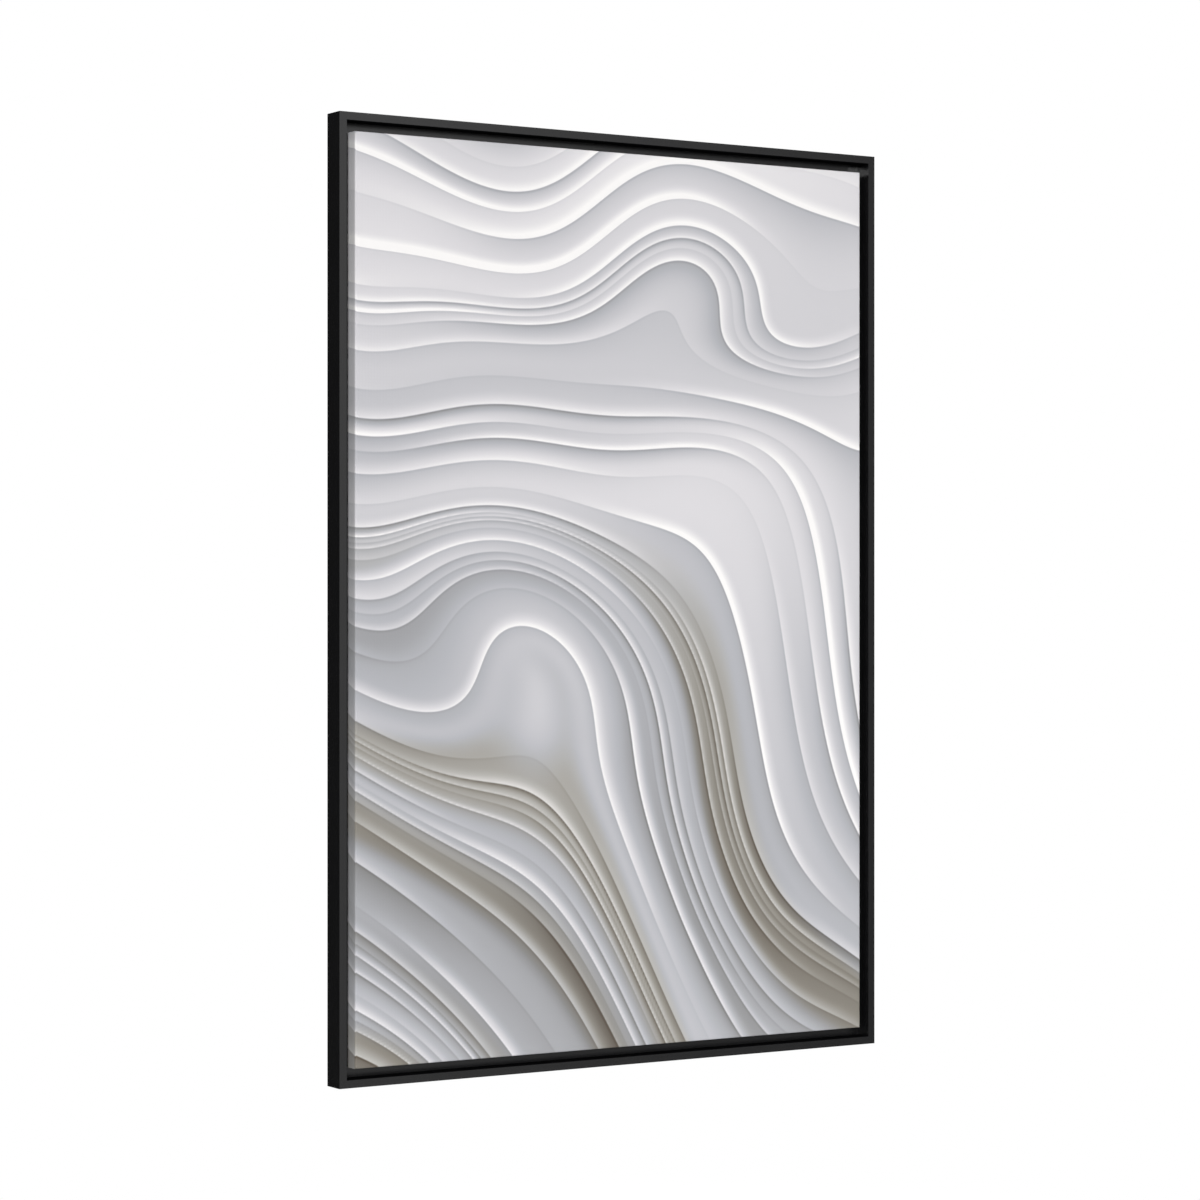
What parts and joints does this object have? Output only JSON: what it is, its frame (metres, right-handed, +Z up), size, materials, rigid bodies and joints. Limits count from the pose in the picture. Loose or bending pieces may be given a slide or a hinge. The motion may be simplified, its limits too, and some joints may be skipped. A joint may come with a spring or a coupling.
{
  "type": "framed stretched canvas",
  "caption": "Printed canvas stretched over wooden bars and set in a black floating frame with an open gap round it, with hangers on the back.",
  "frame": {"origin": "centre of the plane of the wall, where the rear bumpers touch it", "axes": "+Z up, +Y into the wall, the picture faces -Y, +X to the viewer's right"},
  "size_m": [0.6456, 0.0304, 0.9504],
  "materials": {
    "black_wood": "painted, satin",
    "raw_pine": "planed, unfinished",
    "printed_canvas": "matte print on woven canvas",
    "zinc_steel": "zinc plated",
    "nickel_wire": "nickel plated",
    "blued_steel": "blued",
    "bumper_rubber": "matte"
  },
  "bodies": {
    "frame_and_canvas": {"frame_rail_bottom": "black_wood", "frame_rail_right": "black_wood", "frame_rail_top": "black_wood", "frame_rail_left": "black_wood", "frame_v_nails": "blued_steel", "stretcher_bar_bottom": "raw_pine", "stretcher_bar_right": "raw_pine", "stretcher_bar_top": "raw_pine", "stretcher_bar_left": "raw_pine", "cross_brace": "raw_pine", "canvas": "printed_canvas", "canvas_staples": "zinc_steel", "frame_screws": "zinc_steel", "hanger_strap_left": "zinc_steel", "hanger_strap_right": "zinc_steel", "hanger_screws": "zinc_steel", "wall_bumper_bottom_left": "bumper_rubber", "wall_bumper_bottom_right": "bumper_rubber", "wall_bumper_top_right": "bumper_rubber", "wall_bumper_top_left": "bumper_rubber"},
    "key_bottom_bar_right": {"key_bottom_bar_right": "raw_pine"},
    "key_right_bar_top": {"key_right_bar_top": "raw_pine"},
    "key_top_bar_left": {"key_top_bar_left": "raw_pine"},
    "key_left_bar_bottom": {"key_left_bar_bottom": "raw_pine"},
    "key_right_bar_bottom": {"key_right_bar_bottom": "raw_pine"},
    "key_top_bar_right": {"key_top_bar_right": "raw_pine"},
    "key_left_bar_top": {"key_left_bar_top": "raw_pine"},
    "key_bottom_bar_left": {"key_bottom_bar_left": "raw_pine"},
    "d_ring_left": {"d_ring_left": "nickel_wire"},
    "d_ring_right": {"d_ring_right": "nickel_wire"}
  },
  "joints": [
    {"name": "key_bottom_bar_right_slide", "type": "slide", "parent": "frame_and_canvas", "child": "key_bottom_bar_right", "axis": [-1, 0, 0], "range_m": [0, 0.02]},
    {"name": "key_right_bar_top_slide", "type": "slide", "parent": "frame_and_canvas", "child": "key_right_bar_top", "axis": [0, 0, -1], "range_m": [0, 0.02]},
    {"name": "key_top_bar_left_slide", "type": "slide", "parent": "frame_and_canvas", "child": "key_top_bar_left", "axis": [1, 0, 0], "range_m": [0, 0.02]},
    {"name": "key_left_bar_bottom_slide", "type": "slide", "parent": "frame_and_canvas", "child": "key_left_bar_bottom", "axis": [0, 0, 1], "range_m": [0, 0.02]},
    {"name": "key_right_bar_bottom_slide", "type": "slide", "parent": "frame_and_canvas", "child": "key_right_bar_bottom", "axis": [0, 0, 1], "range_m": [0, 0.02]},
    {"name": "key_top_bar_right_slide", "type": "slide", "parent": "frame_and_canvas", "child": "key_top_bar_right", "axis": [-1, 0, 0], "range_m": [0, 0.02]},
    {"name": "key_left_bar_top_slide", "type": "slide", "parent": "frame_and_canvas", "child": "key_left_bar_top", "axis": [0, 0, -1], "range_m": [0, 0.02]},
    {"name": "key_bottom_bar_left_slide", "type": "slide", "parent": "frame_and_canvas", "child": "key_bottom_bar_left", "axis": [1, 0, 0], "range_m": [0, 0.02]},
    {"name": "ring_swing_left", "type": "hinge", "parent": "frame_and_canvas", "child": "d_ring_left", "pos_m": [-0.2883, -0.00285, 0.175], "axis": [0, 0, 1], "range_deg": [-30, 170]},
    {"name": "ring_swing_right", "type": "hinge", "parent": "frame_and_canvas", "child": "d_ring_right", "pos_m": [0.2883, -0.00285, 0.175], "axis": [0, 0, -1], "range_deg": [-30, 170]}
  ]
}
